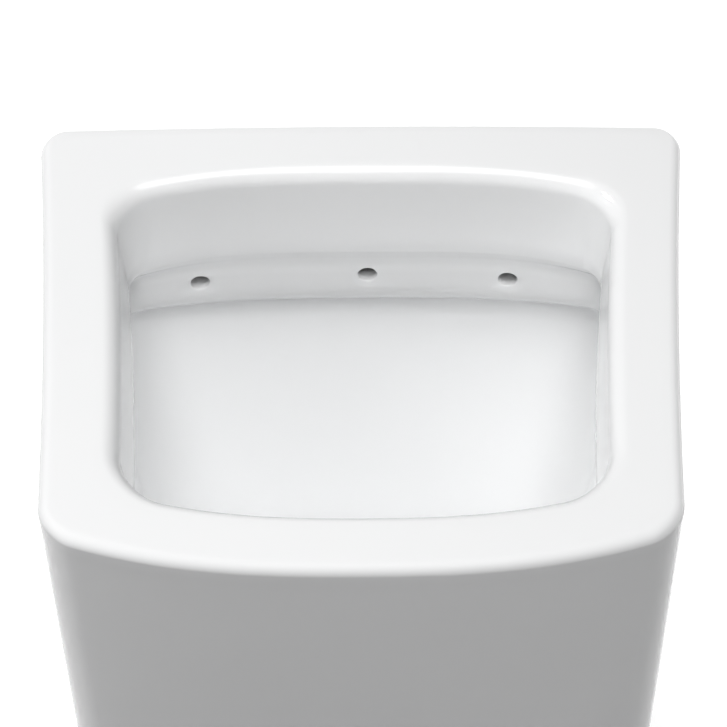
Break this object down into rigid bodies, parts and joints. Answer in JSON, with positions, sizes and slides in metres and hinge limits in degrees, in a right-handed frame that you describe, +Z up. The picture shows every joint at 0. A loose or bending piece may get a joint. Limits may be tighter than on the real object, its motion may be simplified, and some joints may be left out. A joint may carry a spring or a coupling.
{
  "type": "floor standing urinal",
  "caption": "White glazed ceramic floor standing urinal with a flat wide rim, bowed front lip, flushing holes in the bowl's rear wall, lift-out strainer, bottle trap and floor brackets.",
  "frame": {"origin": "middle of the box's base, on the floor, halfway between the wall face and the front lip", "axes": "+Z up, +Y towards the wall, -Y out of the front lip, +X to the right of someone facing the urinal"},
  "size_m": [0.3614, 0.314, 0.65],
  "materials": {
    "glaze": "white glossy glaze",
    "rubber": "moulded black rubber",
    "stainless": "polished stainless steel",
    "trap_plastic": "moulded white polypropylene, satin",
    "pipe_plastic": "pale grey waste pipe, satin",
    "zinc": "zinc plated steel",
    "cap_plastic": "white gloss"
  },
  "bodies": {
    "fixed_assembly": {"ceramic_body": "glaze", "inlet_grommet": "rubber", "waste_flange": "stainless", "flange_gasket": "rubber", "under_gasket": "rubber", "friction_washer": "trap_plastic", "back_nut": "trap_plastic", "trap_union_nut": "trap_plastic", "trap_union_washer": "rubber", "trap_body": "trap_plastic", "trap_cup": "trap_plastic", "trap_cup_seal": "rubber", "outlet_nut": "trap_plastic", "outlet_cone_washer": "rubber", "outlet_pipe": "pipe_plastic", "socket_lip_seal": "rubber", "floor_bracket_left": "zinc", "floor_bracket_right": "zinc", "side_bushes": "trap_plastic", "side_screws": "zinc", "bracket_nuts": "zinc"},
    "trap_insert": {"dip_tube": "trap_plastic", "dip_tube_ring": "rubber"},
    "strainer": {"strainer_dome": "stainless"},
    "cap_left": {"cover_cap_left": "cap_plastic"},
    "cap_right": {"cover_cap_right": "cap_plastic"}
  },
  "joints": [
    {"name": "dip_tube_lift", "type": "slide", "parent": "fixed_assembly", "child": "trap_insert", "axis": [0, 0, 1], "range_m": [0, 0.52]},
    {"name": "strainer_lift", "type": "slide", "parent": "trap_insert", "child": "strainer", "axis": [0, 0, 1], "range_m": [0, 0.37]},
    {"name": "cap_left_pull", "type": "slide", "parent": "fixed_assembly", "child": "cap_left", "axis": [-1, 0, 0], "range_m": [0, 0.03]},
    {"name": "cap_right_pull", "type": "slide", "parent": "fixed_assembly", "child": "cap_right", "axis": [1, 0, 0], "range_m": [0, 0.03]}
  ]
}
